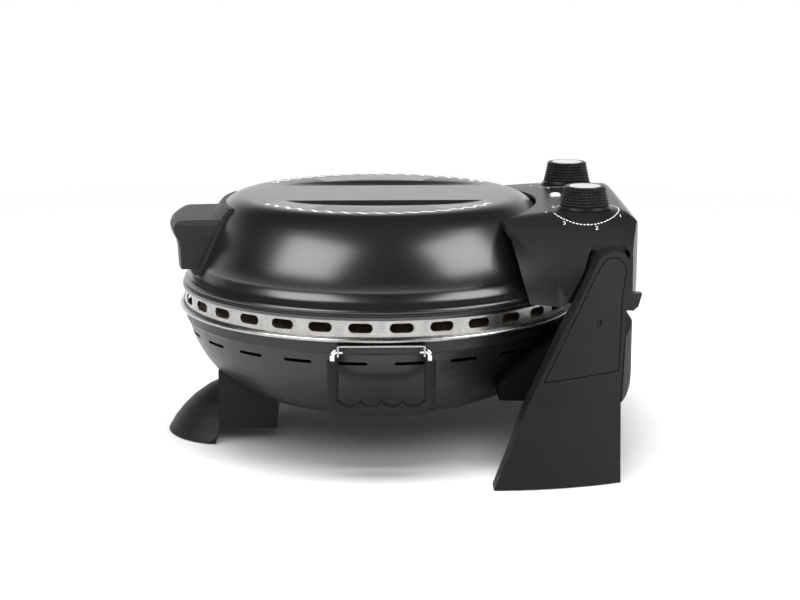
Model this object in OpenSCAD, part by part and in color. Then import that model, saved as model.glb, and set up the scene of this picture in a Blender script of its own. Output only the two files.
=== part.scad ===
// Countertop pizza maker with a hinged dome lid.
// X runs across the oven, -Y is the front where the lid lifts, Z is up from the floor.

/* [Cooking ring] */
// Radius of the steel ring's outer wall
ring_r = 171.5; // [160:0.5:185]
// Height of the ring's rolled lip above the floor
lip_z = 117.5; // [112:0.5:125]
// Height of the ring from its lip to its top edge
ring_h = 16; // [14:0.5:20]
// Wall of the steel ring
ring_wall = 1.2; // [0.8:0.1:2]
// How far the rolled lip stands out from the ring
lip_out = 4; // [3:0.5:6]
// Number of vent slots round the ring
ring_slots = 32; // [24:1:36]
// Length of a vent slot
slot_len = 20; // [14:0.5:22]
// Height of a vent slot
slot_h = 8; // [5:0.5:9]

/* [Bowl] */
// Radius of the bowl's rounded belly
belly_r = 88; // [85:0.5:91]
// Sheet thickness of the bowl
bowl_wall = 1.6; // [1.2:0.1:3]
// Number of vents round the bowl
bowl_vents = 22; // [12:1:30]
// Length of a bowl vent
bowl_vent_len = 25; // [15:0.5:32]
// Height of a bowl vent
bowl_vent_h = 3; // [2:0.2:5]

/* [Stone and heating] */
// Radius of the baking stone
stone_r = 158; // [140:0.5:160]
// Thickness of the baking stone
stone_t = 12; // [10:0.5:14]
// How far the stone's top stands over the ring's lip
stone_rise = 2; // [0:0.5:4]
// Diameter of the heating tubes
tube_d = 6.5; // [5:0.5:8]
// Radius of the outer turn of a heating element
element_r = 118; // [105:1:124]
// Radius of the inner turn of a heating element
element_inner_r = 62; // [50:1:72]

/* [Dome] */
// Height from the dome's rim to its flat top
dome_h = 78.8; // [72:0.2:84]
// Sheet thickness of the dome
dome_wall = 1.8; // [1.2:0.1:2.6]
// Distance of each pressed flute's straight edge from the middle
flute_x = 43; // [38:1:48]
// Width of a pressed flute at its middle
flute_w = 30; // [20:1:32]
// Depth of a pressed flute
flute_deep = 4.5; // [3:0.25:6]
// Length of a pressed flute
flute_len = 172; // [130:1:190]

/* [Lid handle] */
// Half width of the lid handle
handle_half = 48; // [40:0.5:56]
// Reach of the handle's front edge from the oven's middle
handle_reach = 183; // [179:0.5:192]
// Wall of the moulded handle
handle_wall = 3; // [2.5:0.25:4]

/* [Control housing] */
// Half width of the control housing
housing_half = 140; // [136:0.5:146]
// Reach of the housing's rear wall from the oven's middle
housing_reach = 226; // [222:0.5:230]
// Wall of the moulded housing
housing_wall = 3; // [2.4:0.1:3.6]
// Gap between the housing and the dome
housing_gap = 0.4; // [0.2:0.1:0.8]

/* [Knobs] */
// Distance of each knob from the middle
knob_x = 75; // [68:0.5:80]
// Place of the knobs behind the oven's middle
knob_y = 174.5; // [170:0.5:178]
// Diameter of a knob at its base
knob_d = 43; // [36:0.5:46]
// Diameter of a knob at its top
knob_top_d = 35; // [30:0.5:38]
// Height of a knob
knob_h = 19; // [15:0.5:24]
// Diameter of the bright disc on a knob
disc_d = 27; // [20:0.5:29]
// Number of grips cut round a knob
knob_grips = 28; // [20:1:36]
// Diameter of a knob's shaft
shaft_d = 6; // [5:0.5:8]
// Running clearance all round a shaft or pin
running_gap = 0.06; // [0.03:0.01:0.1]

/* [Hinge] */
// Place of the lid's hinge behind the oven's middle
hinge_y = 190.5; // [188:0.5:192]
// Height of the lid's hinge over the ring's top edge
hinge_up = 36.1; // [35:0.1:38]
// Diameter of a hinge pin
pin_d = 10; // [8:0.5:11]
// Radius of the leg's round top
leg_top_r = 16; // [14:0.25:17]

/* [Legs] */
// Half width of the stance on the floor
stance_half = 206.8; // [200:0.5:212]
// Inward lean of the legs for each unit of height
leg_lean = 0.2; // [0.18:0.01:0.22]
// Thickness of the inset cover plate on a leg
cover_t = 3; // [2:0.25:4]
// Gap round the inset cover plate
cover_gap = 0.7; // [0.4:0.1:1.2]
// Thickness of the rubber pads under the feet
pad_t = 3; // [2:0.5:5]
// How far the pads stand out below the feet
pad_out = 0.8; // [0.4:0.1:2]

/* [Front foot] */
// Half width of the front foot
foot_half = 60; // [52:0.5:66]
// Reach of the front foot on the floor from the oven's middle
foot_reach = 188; // [184:0.5:192]
// Wall of the front foot
foot_wall = 4; // [3:0.25:6]

/* [Side bails] */
// Diameter of the bail's wire
wire_d = 4.5; // [3.5:0.25:5]
// Half distance between the bail's arms
bail_half = 39.7; // [36:0.1:44]
// Diameter of the soft grip on the arms
grip_d = 9.5; // [8:0.25:10.5]
// Drop of the bail's lower bar below its pivot
bail_drop = 50; // [44:0.5:52]
// Radius of the bail's lower bends
bail_bend_r = 10; // [8:0.5:12]

/* [Hidden] */

$fn = 96;
cut = 1;
seat_gap = 0.15;
lid_gap = 0.3;

ring_top = lip_z + ring_h;
lip_r = ring_r + lip_out;
hinge_z = ring_top + hinge_up;
dome_z = ring_top + lid_gap;
dome_top = dome_z + dome_h;
housing_top = lip_z + 93.5;
oven_y = (foot_reach - housing_reach) / 2;

// ---- Outline helpers ----

function unit(v) = v / norm(v);
function left_of(a, b) = let (d = unit(b - a)) [-d[1], d[0]];
function corner(p, q, r, d) = let (n1 = left_of(p, q), n2 = left_of(q, r)) q + (n1 + n2) * d / (1 + n1 * n2);
// Moves each edge of a counter-clockwise outline inwards by d
function inset(pts, d) = let (n = len(pts))
    [for (i = [0:n - 1]) corner(pts[(i + n - 1) % n], pts[i], pts[(i + 1) % n], d)];
// Moves an open line of points to its left by d
function beside(pts, d) = let (n = len(pts))
    [for (i = [0:n - 1])
        i == 0 ? pts[0] + left_of(pts[0], pts[1]) * d
        : i == n - 1 ? pts[n - 1] + left_of(pts[n - 2], pts[n - 1]) * d
        : corner(pts[i - 1], pts[i], pts[i + 1], d)];
function reversed(pts) = [for (i = [len(pts) - 1:-1:0]) pts[i]];
function arc(c, r, a0, a1, n) = [for (i = [0:n]) c + r * [cos(a0 + (a1 - a0) * i / n), sin(a0 + (a1 - a0) * i / n)]];

module at_oven() {
    translate([0, oven_y, 0]) children();
}

module side_x(s) {
    if (s > 0) {
        children();
    } else {
        mirror([1, 0, 0]) children();
    }
}

// Extrudes a (Y, Z) outline across the oven from x0 to x1
module across(x0, x1) {
    translate([x0, 0, 0]) rotate([90, 0, 90]) linear_extrude(x1 - x0) children();
}

// Extrudes an (X, Z) outline along the oven from y0 to y1
module along(y0, y1) {
    translate([0, y1, 0]) rotate([90, 0, 0]) linear_extrude(y1 - y0) children();
}

// Round bar along X
module bar_x(x0, x1, y, z, r) {
    translate([x0, y, z]) rotate([0, 90, 0]) cylinder(r = r, h = x1 - x0);
}

module disc_ring(r_out, r_in, h) {
    difference() {
        cylinder(r = r_out, h = h);
        translate([0, 0, -cut]) cylinder(r = r_in, h = h + 2 * cut);
    }
}

// Slot with round ends, long across Y, cut outwards along X from r0 to r1 at height z
module slot_cut(len, h, r0, r1, z) {
    translate([r0, 0, z]) rotate([90, 0, 90]) linear_extrude(r1 - r0) {
        square([len - h, h], center = true);
        for (s = [-1, 1]) translate([s * (len - h) / 2, 0]) circle(d = h);
    }
}

// ---- Cooking ring and bowl ----

bead_r = 2;
bowl_rim_z = lip_z - bead_r - seat_gap;
belly_x = ring_r - 1.5 - belly_r;
belly_z = bowl_rim_z + 8;
bowl_floor = belly_z - belly_r;

module vent_ring() {
    slot_z = lip_z + ring_h * 0.62;
    color("silver") at_oven() difference() {
        union() {
            translate([0, 0, lip_z]) disc_ring(ring_r, ring_r - ring_wall, ring_h);
            rotate_extrude() {
                translate([lip_r - bead_r, lip_z]) circle(r = bead_r);
                translate([ring_r - ring_wall, lip_z - 0.6]) square([lip_out - bead_r + ring_wall, 1.2]);
            }
        }
        for (i = [0:ring_slots - 1]) rotate([0, 0, (i + 0.5) * 360 / ring_slots])
            slot_cut(slot_len, slot_h, ring_r - 6, ring_r + cut, slot_z);
    }
}

bowl_line = concat(
    [[0, bowl_floor], [belly_x, bowl_floor]],
    [for (a = [-84:6:-18]) [belly_x + belly_r * cos(a), belly_z + belly_r * sin(a)]],
    [[ring_r - 3.2, bowl_rim_z - 11], [ring_r - 1.5, bowl_rim_z - 9], [ring_r - 1.5, bowl_rim_z]]);

module bowl_solid(grow) {
    rotate_extrude() polygon(concat([[0, bowl_rim_z + 3 * grow]], beside(bowl_line, -grow),
        [[ring_r - 1.5 + grow, bowl_rim_z + 3 * grow]]));
}

module base_bowl() {
    color("#1c1c1d") at_oven() difference() {
        rotate_extrude() polygon(concat(bowl_line, reversed(beside(bowl_line, bowl_wall))));
        for (i = [0:bowl_vents - 1]) rotate([0, 0, (i + 0.5) * 360 / bowl_vents])
            slot_cut(bowl_vent_len, bowl_vent_h, ring_r - 20, ring_r + cut, bowl_rim_z - 19);
    }
}

// ---- Stone, heating elements and reflector ----

stone_top = lip_z + stone_rise;
stone_z = stone_top - stone_t;
shelf_z = stone_z - seat_gap;
lower_tube_z = stone_z - 14;
clip_w = 12;

module baking_stone() {
    color("#c9a27e") at_oven() translate([0, 0, stone_z]) rotate_extrude()
        polygon([[0, 0], [stone_r - 2, 0], [stone_r, 2], [stone_r, stone_t - 2], [stone_r - 2, stone_t],
            [0, stone_t]]);
}

// Two round turns joined by two short straight runs
module element_tube(z) {
    span = element_r - element_inner_r;
    translate([0, 0, z]) {
        for (r = [element_r, element_inner_r]) rotate([0, 0, -78]) rotate_extrude(angle = 336)
            translate([r, 0]) circle(d = tube_d);
        for (a = [-74, -106]) rotate([0, 0, a]) translate([element_inner_r, 0, 0])
            rotate([0, 90, 0]) cylinder(d = tube_d - 1, h = span);
    }
}

module lower_element() {
    color("#6d6a66") at_oven() rotate([0, 0, 180]) element_tube(lower_tube_z);
}

pan_z = lower_tube_z - 20;
pan_line = [[0, pan_z], [element_r + 14, pan_z], [stone_r - 10, shelf_z - 1.4], [ring_r - 4.2, shelf_z - 1.4]];

module reflector_pan() {
    color("#b9bcbf") at_oven() difference() {
        rotate_extrude() polygon(concat(pan_line, reversed(beside(pan_line, 1.2))));
        for (a = [0:90:270]) rotate([0, 0, a + 45]) translate([element_r, 0, pan_z - cut])
            cylinder(d = 4, h = 4);
    }
}

module element_feet() {
    tube_low = lower_tube_z - tube_d / 2;
    color("#a9abad") at_oven() for (a = [0:90:270]) rotate([0, 0, a + 45]) {
        translate([element_r - 2, -clip_w / 2, pan_z + 1.2]) cube([4, clip_w, tube_low - pan_z - 1.2 - 0.05]);
        translate([element_inner_r - 2, -clip_w / 2, pan_z + 1.2]) cube([4, clip_w, tube_low - pan_z - 1.25]);
    }
}

// ---- Front foot ----

foot_low = pad_out;
foot_face = [[-132, 57], [-135, 51.5], [-140, 45.5], [-153, 38.7], [-165.6, 29.5], [-174.8, 20.3],
    [-182.2, 11], [-foot_reach + 0.4, foot_low + 1.2], [-foot_reach, foot_low]];
foot_apex_y = -122;

// The flared face is turned about an upright axis through the foot's apex
module foot_flare(grow) {
    pts = [for (p = foot_face) [foot_apex_y - p[0] - grow, p[1]]];
    translate([0, foot_apex_y, 0]) rotate_extrude()
        polygon(concat([[0, foot_low - 2 * grow]], reversed(pts), [[0, 57]]));
}

module foot_block(half, low, back) {
    translate([-half, -foot_reach - cut, low]) cube([2 * half, foot_reach + cut - back, lip_z]);
}

front_pad = [40, -165];

module front_foot() {
    step = 6;
    side = [[-200, -5], [-144, -5], [-142, 8], [-135, 28], [-127, 42], [-121, 49], [-121, 80], [-200, 80]];
    color("#222223") at_oven() difference() {
        union() {
            difference() {
                union() {
                    intersection() {
                        foot_flare(0);
                        across(-foot_half, foot_half) polygon(side);
                    }
                    translate([-foot_half + step, -140, 13]) cube([2 * foot_half - 2 * step, 50, 52]);
                }
                intersection() {
                    foot_flare(foot_wall);
                    across(-foot_half + foot_wall, foot_half - foot_wall) polygon(inset(side, 3));
                    foot_block(foot_half, -cut, 130);
                }
                translate([-foot_half + step + foot_wall, -128, 0]) cube([2 * (foot_half - step - foot_wall), 34, 42]);
            }
            for (s = [-1, 1]) intersection() {
                translate([s * front_pad[0], front_pad[1], foot_low]) cylinder(r = 7, h = 24);
                foot_flare(0.5);
            }
        }
        bowl_solid(seat_gap);
        for (s = [-1, 1]) translate([s * front_pad[0], front_pad[1], -cut])
            cylinder(r = 4.7, h = pad_t + pad_out + cut);
    }
}

// ---- Legs ----

leg_bend_r = 255;
leg_bend_y = 95;
leg_lean_a = atan(leg_lean);
leg_drum_r = leg_bend_r * cos(leg_lean_a);
leg_inner_x = housing_half - 17.2;
pin_end = stance_half - 61.8;
pad_spots = [[stance_half - 12.8, 108], [stance_half - 26.8, 172]];
leg_front = [[90.4, foot_low], [103.6, 31], [115, 61], [137, 102.6], [148.8, hinge_z - 43.6],
    [158.9, hinge_z - 26.6], [168, hinge_z - 9.6]];
leg_back = [[hinge_y + leg_top_r, hinge_z], [203, hinge_z - 19.6], [201.8, hinge_z - 32.6], [196.3, 71.6],
    [195.8, 20], [195.7, foot_low]];

leg_pts = concat([leg_back[5], leg_back[4], leg_back[3], leg_back[2], leg_back[1]],
    arc([hinge_y, hinge_z], leg_top_r, 0, 150, 15), reversed(leg_front));

module leg_outline() {
    polygon(leg_pts);
}

// Leaning drum whose wall is the leg's outer face, less depth
module leg_drum(depth) {
    translate([stance_half, leg_bend_y, 0]) rotate([0, -leg_lean_a, 0])
        translate([-leg_drum_r, 0, -120]) cylinder(r = leg_drum_r - depth, h = 420, $fn = 360);
}

// Keeps what lies outside the leg's flat inner face, moved out by shift
module leg_inner_side(shift) {
    translate([stance_half - 18.8 + shift, 90, 0]) rotate([0, -13.6, 0]) rotate([0, 0, 11.5])
        translate([0, -120, -60]) cube([160, 320, 320]);
}

module leg_solid() {
    intersection() {
        across(leg_inner_x, stance_half + 5) leg_outline();
        leg_drum(0);
        leg_inner_side(0);
    }
    intersection() {
        bar_x(leg_inner_x, stance_half - 56.8, hinge_y, hinge_z, leg_top_r - 2);
        leg_drum(5);
    }
}

cover_outline = [[198.5, 150], [202.4, hinge_z], [201.5, hinge_z + 4.6], [196.5, hinge_z + 10.6],
    [190, hinge_z + 12.2], [183.8, hinge_z + 10.4], [178.8, hinge_z + 4], [171.3, hinge_z - 9],
    [131.3, 84.7], [195, 90]];
cover_pts = concat([[195, 90]], [for (i = [0:8]) cover_outline[i]]);
leg_screw_up = 135.6;
leg_screw_a = 19.2;

// Puts what follows on the leaning outer face, where X leads out of the leg
module at_leg_screw() {
    translate([stance_half, leg_bend_y, 0]) rotate([0, -leg_lean_a, 0])
        translate([-leg_drum_r, 0, leg_screw_up]) rotate([0, 0, leg_screw_a]) translate([leg_drum_r, 0, 0]) children();
}

module cover_shape(shrink, deep) {
    difference() {
        intersection() {
            across(100, stance_half + 5) polygon(inset(cover_pts, shrink));
            leg_drum(0);
        }
        leg_drum(deep);
    }
}

module leg() {
    difference() {
        leg_solid();
        cover_shape(0, cover_t);
        bar_x(100, pin_end + 0.2, hinge_y, hinge_z, pin_d / 2 + running_gap);
        translate([90, hinge_y + 5, hinge_z - 62]) cube([housing_half + 1.5 - 90, 30, 49]);
        at_leg_screw() bar_x(-16, cut, 0, 0, 1.6);
        pad_cut(0);
    }
}

// Pocket or pad under a leg, shrunk all round
module pad_cut(shrink) {
    for (p = pad_spots) translate([p[0], p[1], 0]) cylinder(r = 7 - shrink, h = pad_t + pad_out - shrink);
}

module right_leg() {
    color("#232324") at_oven() leg();
}

module left_leg() {
    color("#232324") at_oven() mirror([1, 0, 0]) leg();
}

module leg_cover() {
    difference() {
        cover_shape(cover_gap, cover_t - 0.1);
        at_leg_screw() bar_x(-6, cut, 0, 0, 3.2);
    }
}

module right_leg_cover() {
    color("#28282a") at_oven() leg_cover();
}

module left_leg_cover() {
    color("#28282a") at_oven() mirror([1, 0, 0]) leg_cover();
}

module leg_screws() {
    color("#3a3a3c") at_oven() for (s = [1, -1]) side_x(s) at_leg_screw() {
        bar_x(-15, -cover_t + 0.6, 0, 0, 1.5);
        difference() {
            bar_x(-cover_t + 0.1, -0.9, 0, 0, 2.9);
            translate([-1.5, -0.5, -2]) cube([3, 1, 4]);
            translate([-1.5, -2, -0.5]) cube([3, 4, 1]);
        }
    }
}

module hinge_pins() {
    color("#bfc1c3") at_oven() for (s = [1, -1]) side_x(s)
        bar_x(housing_half - 34, pin_end, hinge_y, hinge_z, pin_d / 2);
}

module foot_pads() {
    color("#111111") at_oven() for (s = [1, -1]) {
        side_x(s) for (p = pad_spots) translate([p[0], p[1], 0]) cylinder(r = 6.8, h = pad_t + pad_out - 0.1);
        translate([s * front_pad[0], front_pad[1], 0]) cylinder(r = 4.5, h = pad_t + pad_out - 0.1);
    }
}

// ---- Lower rear housing ----

rear_bend_r = 500;
rear_pts = concat([[98, 61]],
    [for (p = [[-20, 59], [-12.5, 61], [-8.5, 68], [-6.2, 78], [-3.5, 101], [-8.2, lip_z - 5.5]]) p + [housing_reach, 0]],
    [[150, lip_z - 5.5], [98, 76]]);
rear_half = stance_half - 56.8;
gland_at = [-60, housing_reach - 30];

module rear_shape(d) {
    intersection() {
        across(-180, 180) polygon(inset(rear_pts, d));
        translate([0, housing_reach - 3 - rear_bend_r, 0]) cylinder(r = rear_bend_r - d, h = 200, $fn = 360);
        translate([-rear_half, 90, 0]) cube([2 * rear_half, 150, 200]);
    }
}

module rear_housing() {
    color("#202021") at_oven() difference() {
        rear_shape(0);
        bowl_solid(seat_gap);
        intersection() {
            rear_shape(3);
            translate([16 - housing_half, 172, 0]) cube([2 * housing_half - 32, 60, 200]);
        }
        for (s = [1, -1]) side_x(s) leg_inner_side(-seat_gap);
        translate([gland_at[0], gland_at[1], 50]) cylinder(r = 9, h = 20);
    }
}

module cable_gland() {
    color("#161616") at_oven() translate([gland_at[0], gland_at[1], 0]) difference() {
        union() {
            translate([0, 0, 51]) cylinder(r = 12, h = 7.9);
            translate([0, 0, 51]) cylinder(r = 8.9, h = 18);
        }
        translate([0, 0, 45]) cylinder(r = 4, h = 30);
    }
}

module terminal_block() {
    color("#d9d6cc") at_oven() difference() {
        translate([-24, housing_reach - 34, 62.5]) cube([48, 14, 12]);
        for (i = [-1, 0, 1]) translate([i * 15, housing_reach - 27, 68.5]) cylinder(r = 2.5, h = 10);
    }
}

// ---- Side bails ----

bail_x = lip_r - 1.5;
bail_z = lip_z - bead_r - wire_d / 2 - 4.2;
ear_y = bail_half - 3.7;
ear_t = 1.5;

module bail_bracket() {
    difference() {
        union() {
            translate([bail_x - 9, -ear_y, bail_z + wire_d / 2 + 1.4]) cube([11, 2 * ear_y, 1.2]);
            for (s = [-1, 1]) translate([bail_x - 6, s * (ear_y - ear_t / 2) - ear_t / 2, bail_z - 4])
                cube([10, ear_t, wire_d / 2 + 6.6]);
            for (s = [-1, 1]) translate([bail_x - 1, s * (ear_y - ear_t / 2) - ear_t / 2, bail_z])
                rotate([-90, 0, 0]) cylinder(r = 5, h = ear_t);
        }
        translate([bail_x, -ear_y - cut, bail_z]) rotate([-90, 0, 0])
            cylinder(d = wire_d + 2 * running_gap, h = 2 * ear_y + 2 * cut);
        bowl_solid(seat_gap);
    }
}

module right_bail_bracket() {
    color("#c8cacc") at_oven() bail_bracket();
}

module left_bail_bracket() {
    color("#c8cacc") at_oven() mirror([1, 0, 0]) bail_bracket();
}

// Both halves of a piece that is the same towards the front and the rear
module both_ways() {
    children();
    mirror([0, 1, 0]) children();
}

// Round bar bent through a quarter turn in the (Y, Z) plane
module quarter(y, z, bend, r, start) {
    translate([bail_x, y, z]) rotate([90, 0, 90]) rotate([0, 0, start]) rotate_extrude(angle = 90)
        translate([bend, 0]) circle(r = r);
}

// The bail's U, from one arm's top round to the other
module bail_loop(r, top) {
    low = bail_z - bail_drop;
    both_ways() {
        translate([bail_x, bail_half, low + bail_bend_r]) cylinder(r = r, h = top - low - bail_bend_r);
        quarter(bail_half - bail_bend_r, low + bail_bend_r, bail_bend_r, r, -90);
        translate([bail_x, 0, low]) rotate([-90, 0, 0]) cylinder(r = r, h = bail_half - bail_bend_r);
    }
}

module bail_wire() {
    knee = 4;
    r = wire_d / 2;
    bail_loop(r, bail_z - knee);
    both_ways() {
        quarter(bail_half - knee, bail_z - knee, knee, r, 0);
        translate([bail_x, ear_y - ear_t - 3, bail_z]) rotate([-90, 0, 0])
            cylinder(r = r, h = bail_half - knee - ear_y + ear_t + 3);
    }
}

module bail_grip() {
    low = bail_z - bail_drop;
    crest = 8;
    finger_r = 10;
    pitch = 17;
    difference() {
        union() {
            bail_loop(grip_d / 2, bail_z - 8);
            difference() {
                translate([bail_x - 3.6, -bail_half, low]) cube([7.2, 2 * bail_half, crest]);
                for (i = [-1.5:1:1.5]) translate([bail_x - 10, i * pitch, low + crest + finger_r - 4])
                    rotate([0, 90, 0]) cylinder(r = finger_r, h = 20);
            }
        }
        bail_loop(wire_d / 2 + 0.1, bail_z - 6);
    }
}

module right_bail_wire() {
    color("#cfd1d3") at_oven() bail_wire();
}

module left_bail_wire() {
    color("#cfd1d3") at_oven() mirror([1, 0, 0]) bail_wire();
}

module right_bail_grip() {
    color("#1a1a1a") at_oven() bail_grip();
}

module left_bail_grip() {
    color("#1a1a1a") at_oven() mirror([1, 0, 0]) bail_grip();
}

// ---- Lid ----

dome_line = [for (p = [[1.5, 0], [1.5, 2.8], [-0.2, 3.6], [-0.2, 4.6], [0.1, 5.4], [-0.3, 7], [-1.6, 8.4], [-5.5, 10.9],
    [-8, 13.2], [-10, 15.9], [-12, 19.4], [-13.5, 23.4], [-20, 38.4], [-27.5, dome_h - 22.8], [-31, dome_h - 15],
    [-33.4, dome_h - 10.8], [-36.6, dome_h - 7], [-40.6, dome_h - 3.9], [-45, dome_h - 1.8], [-50, dome_h - 0.5],
    [-55, dome_h], [-ring_r, dome_h]]) [ring_r + p[0], dome_z + p[1]]];

module dome_solid(grow) {
    rotate_extrude() polygon(concat([[0, dome_z - 3 * grow], [ring_r + 1.5 + grow, dome_z - 3 * grow]],
        beside(dome_line, -grow)));
}

// Long half trough with a straight upright inner edge, whose ends run out to points
module flute(x, deep, width) {
    sweep_r = flute_len * flute_len / (8 * deep) + deep / 2;
    trough_r = width * width / (8 * deep) + deep / 2;
    intersection() {
        translate([x, 5, dome_top - deep + sweep_r]) rotate([0, 90, 0]) rotate_extrude($fn = 180)
            translate([sweep_r - trough_r, 0]) circle(r = trough_r, $fn = 60);
        translate([x, 5 - flute_len, dome_top - 2 * deep]) cube([width, 2 * flute_len, 4 * deep]);
    }
}

screw_x = 34;
screw_z = dome_z + 46;

module handle_screw_holes(r) {
    for (s = [-1, 1]) translate([s * screw_x, -165, screw_z]) rotate([-90, 0, 0]) cylinder(r = r, h = 40);
}

module lid_dome() {
    color("#1b1b1c") at_oven() difference() {
        dome_solid(0);
        for (s = [1, -1]) side_x(s) flute(flute_x, flute_deep, 2 * flute_w);
        difference() {
            rotate_extrude() polygon(concat([[0, dome_z - cut], [ring_r + 1.5 - dome_wall, dome_z - cut]],
                beside(dome_line, dome_wall)));
            intersection() {
                for (s = [1, -1]) side_x(s)
                    flute(flute_x - dome_wall, flute_deep + dome_wall, 2 * flute_w + 6 * dome_wall);
                translate([-ring_r, -ring_r, dome_top - 20]) cube([2 * ring_r, 2 * ring_r, 30]);
            }
        }
        handle_screw_holes(2.2);
    }
}

liner_top = dome_z + 42;
liner_line = [[ring_r - 3, dome_z + 5.4], [ring_r - 8, dome_z + 3.2], [ring_r - 15, dome_z + 15],
    [ring_r - 34, liner_top], [0, liner_top]];

module lid_liner() {
    color("#b4b7ba") at_oven() rotate_extrude() polygon(concat(liner_line, reversed(beside(liner_line, 1))));
}

upper_tube_z = dome_z + 22;

module upper_element() {
    color("#6d6a66") at_oven() element_tube(upper_tube_z);
}

module element_hangers() {
    tube_high = upper_tube_z + tube_d / 2 + 0.05;
    color("#a9abad") at_oven() for (a = [0:90:270]) rotate([0, 0, a + 45]) for (r = [element_r, element_inner_r])
        translate([r - 2, -clip_w / 2, tube_high]) cube([4, clip_w, liner_top - 1 - tube_high]);
}

// ---- Lid handle ----

plate_t = 3;
handle_low = dome_z + 18.7;
handle_high = dome_z + 62;
// Side outline of the handle, front lip to the left
handle_side = [[-handle_reach + 7, handle_low], [-118, handle_low], [-118, handle_high + 1],
    [-handle_reach + 9, handle_high], [-handle_reach + 4.5, handle_high - 0.8], [-handle_reach + 1.5, handle_high - 3],
    [-handle_reach, handle_high - 6.5], [-handle_reach + 0.6, handle_high - 10.5], [-handle_reach + 2.6, handle_high - 15],
    [-handle_reach + 4.8, handle_high - 19.5], [-handle_reach + 6, handle_high - 26]];
// Front outline of the handle, with the same lip on both ends
handle_end = [[5.5, handle_low], [3.4, handle_high - 25], [2.6, handle_high - 21], [1.4, handle_high - 17],
    [0.2, handle_high - 12.4], [0, handle_high - 8], [0.6, handle_high - 4], [2.4, handle_high - 1], [5, handle_high + 2]];
handle_front = concat([for (p = handle_end) [handle_half - p[0], p[1]]],
    reversed([for (p = handle_end) [p[0] - handle_half, p[1]]]));

module handle_form(d) {
    intersection() {
        rotate_extrude() polygon([for (p = inset(handle_side, d)) [-p[0], p[1]]]);
        along(-200, -100) polygon(inset(handle_front, d));
    }
}

module lid_handle() {
    floor_half = handle_half - 5.5 - handle_wall;
    color("#2b2b2d") at_oven() difference() {
        handle_form(0);
        difference() {
            union() {
                handle_form(handle_wall);
                intersection() {
                    translate([0, 0, handle_low - cut])
                        cylinder(r = handle_reach - 7 - handle_wall, h = handle_wall + 2 * cut);
                    translate([-floor_half, -200, handle_low - cut]) cube([2 * floor_half, 100, handle_wall + 2 * cut]);
                }
            }
            for (s = [-1, 1]) translate([s * screw_x, -178, screw_z]) rotate([-90, 0, 0]) cylinder(r = 5, h = 50);
        }
        dome_solid(plate_t + 2 * seat_gap);
        handle_screw_holes(1.9);
    }
}

module handle_plate() {
    color("#29292b") at_oven() difference() {
        intersection() {
            dome_solid(plate_t + seat_gap);
            translate([-handle_half - 2, -175, handle_low - 4]) cube([2 * handle_half + 4, 90, handle_high - handle_low + 15]);
        }
        dome_solid(seat_gap);
        handle_screw_holes(2.2);
    }
}

module handle_screws() {
    color("#8c8e90") at_oven() for (s = [-1, 1]) translate([s * screw_x, -139.5, screw_z]) {
        rotate([90, 0, 0]) cylinder(r = 1.8, h = 24);
        rotate([-90, 0, 0]) difference() {
            cylinder(r = 3.8, h = 2.6);
            translate([-0.6, -2.4, 1.2]) cube([1.2, 4.8, 2]);
            translate([-2.4, -0.6, 1.2]) cube([4.8, 1.2, 2]);
        }
    }
}

// ---- Control housing ----

shoulder_r = 70;
rear_top_r = 30;
housing_low = dome_z + 3.4;
sweep_r = 39.8;
rear_c = [0, housing_reach - rear_bend_r];
side_corner = [[housing_half, 160], [housing_half, housing_reach - 29], [housing_half - 1.4, housing_reach - 23.4],
    [housing_half - 5.4, housing_reach - 19.6]];
front_corner = [[86, 98], [112, 108], [124, 122], [housing_half - 6, 141]];
housing_plan = concat(front_corner, side_corner,
    [for (p = arc(rear_c, rear_bend_r, 75.5, 104.5, 14)) p],
    reversed([for (p = side_corner) [-p[0], p[1]]]), reversed([for (p = front_corner) [-p[0], p[1]]]));
crown_c = [housing_half - shoulder_r, housing_top - shoulder_r - 1.5];
crown_arc = arc(crown_c, shoulder_r, 0, 90, 15);
housing_crown = concat([[housing_half, housing_low - 20]], crown_arc, [[35, housing_top - 0.4], [0, housing_top], [-35, housing_top - 0.4]],
    reversed([for (p = crown_arc) [-p[0], p[1]]]), [[-housing_half, housing_low - 20]]);
under_turn = housing_reach - hinge_y;
under_a = acos(under_turn / sweep_r);
housing_side = concat([[125, housing_low]],
    arc([hinge_y, hinge_z], sweep_r, -90 + acos((hinge_z - housing_low) / sweep_r), -under_a, 5),
    arc([housing_reach - rear_top_r, housing_top - rear_top_r - 0.3], rear_top_r, 0, 90, 9),
    [[housing_reach - 50, housing_top - 0.3], [145, housing_top - 3.4], [100, housing_top - 9], [110, housing_top - 22]]);
recess_r = leg_top_r + 4.2;
recess_x = housing_half - 18;
recess_pts = concat([[240, housing_low - 20], [240, hinge_z + 8.4]],
    arc([hinge_y, hinge_z], recess_r, 24.6, 150, 14),
    [[168.3, hinge_z - 3.7], [157.7, hinge_z - 22.5], [152.4, housing_low - 0.4], [148, housing_low - 20]]);

module recess(x, grow) {
    across(x, 180) polygon(inset(reversed(recess_pts), -grow));
}

module housing_form(d) {
    intersection() {
        linear_extrude(300) polygon(inset(housing_plan, d));
        along(80, 240) polygon(inset(housing_crown, d));
        across(-160, 160) polygon(inset(housing_side, d));
    }
}

module cheek() {
    across(recess_x - 10, recess_x)
        polygon([[166, housing_low - 6.5], [housing_reach - 14, housing_low - 6.5], [housing_reach - 10, housing_low - 3],
            [housing_reach - 7, housing_low + 8], [166, housing_low + 8]]);
}

knob_seat = housing_top - 1.2;
knob_z = knob_seat + 0.4;

module at_knobs() {
    for (s = [-1, 1]) translate([s * knob_x, knob_y, 0]) children();
}

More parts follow.
